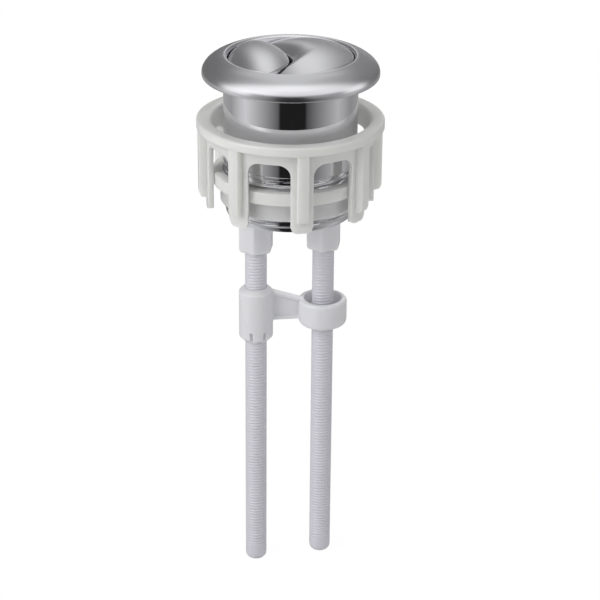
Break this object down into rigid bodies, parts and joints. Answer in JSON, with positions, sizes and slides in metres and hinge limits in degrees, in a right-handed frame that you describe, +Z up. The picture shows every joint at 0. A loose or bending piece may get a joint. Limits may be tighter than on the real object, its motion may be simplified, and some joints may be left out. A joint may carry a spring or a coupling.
{
  "type": "push button cistern actuator",
  "caption": "Dual flush push button for a cistern lid: satin chrome flange and buttons, threaded chrome barrel, caged lock nut and long push rods with a link.",
  "frame": {"origin": "centre of the flange's underside, on the barrel's axis, where it rests on the cistern lid", "axes": "+Z up along the barrel's axis, out of the lid; +X from the small button's rod to the large button's rod; front towards -Y"},
  "size_m": [0.0798, 0.0798, 0.2436],
  "materials": {
    "satin_chrome": "satin, pearl chrome plating",
    "bright_chrome": "mirror chrome plating",
    "milky_plastic": "milky, slightly greenish natural plastic",
    "white_plastic": "white moulded plastic",
    "rod_plastic": "white moulded plastic, faintly lavender",
    "steel": "plain stainless steel"
  },
  "bodies": {
    "housing": {"bezel_ring": "satin_chrome", "threaded_barrel": "bright_chrome", "guide_body": "white_plastic", "guide_base": "white_plastic", "base_screws": "steel", "small_spring": "steel", "large_spring": "steel"},
    "small_push": {"small_button": "satin_chrome", "small_carrier": "white_plastic", "small_cap_screws": "steel", "small_sleeve": "white_plastic", "small_sleeve_screw": "steel"},
    "large_push": {"large_button": "satin_chrome", "large_carrier": "white_plastic", "large_cap_screws": "steel", "large_sleeve": "white_plastic", "large_sleeve_screw": "steel"},
    "small_rod_body": {"small_rod": "rod_plastic"},
    "large_rod_body": {"large_rod": "rod_plastic"},
    "link_body": {"rod_link": "white_plastic"},
    "nut_body": {"lock_nut": "milky_plastic"}
  },
  "joints": [
    {"name": "small_press", "type": "slide", "parent": "housing", "child": "small_push", "axis": [0, 0, -1], "range_m": [0, 0.007], "stiffness_N_per_m": 250, "springref_m": -0.008, "deforming": ["small_spring"]},
    {"name": "large_press", "type": "slide", "parent": "housing", "child": "large_push", "axis": [0, 0, -1], "range_m": [0, 0.007], "stiffness_N_per_m": 250, "springref_m": -0.008, "deforming": ["large_spring"]},
    {"name": "small_rod_setting", "type": "slide", "parent": "small_push", "child": "small_rod_body", "axis": [0, 0, 1], "range_m": [-0.01, 0.011]},
    {"name": "large_rod_setting", "type": "slide", "parent": "large_push", "child": "large_rod_body", "axis": [0, 0, 1], "range_m": [-0.01, 0.011]},
    {"name": "link_setting", "type": "slide", "parent": "small_rod_body", "child": "link_body", "axis": [0, 0, 1], "range_m": [-0.06, 0.004]},
    {"name": "nut_setting", "type": "slide", "parent": "housing", "child": "nut_body", "axis": [0, 0, 1], "range_m": [-0.015, 0.0072]}
  ]
}
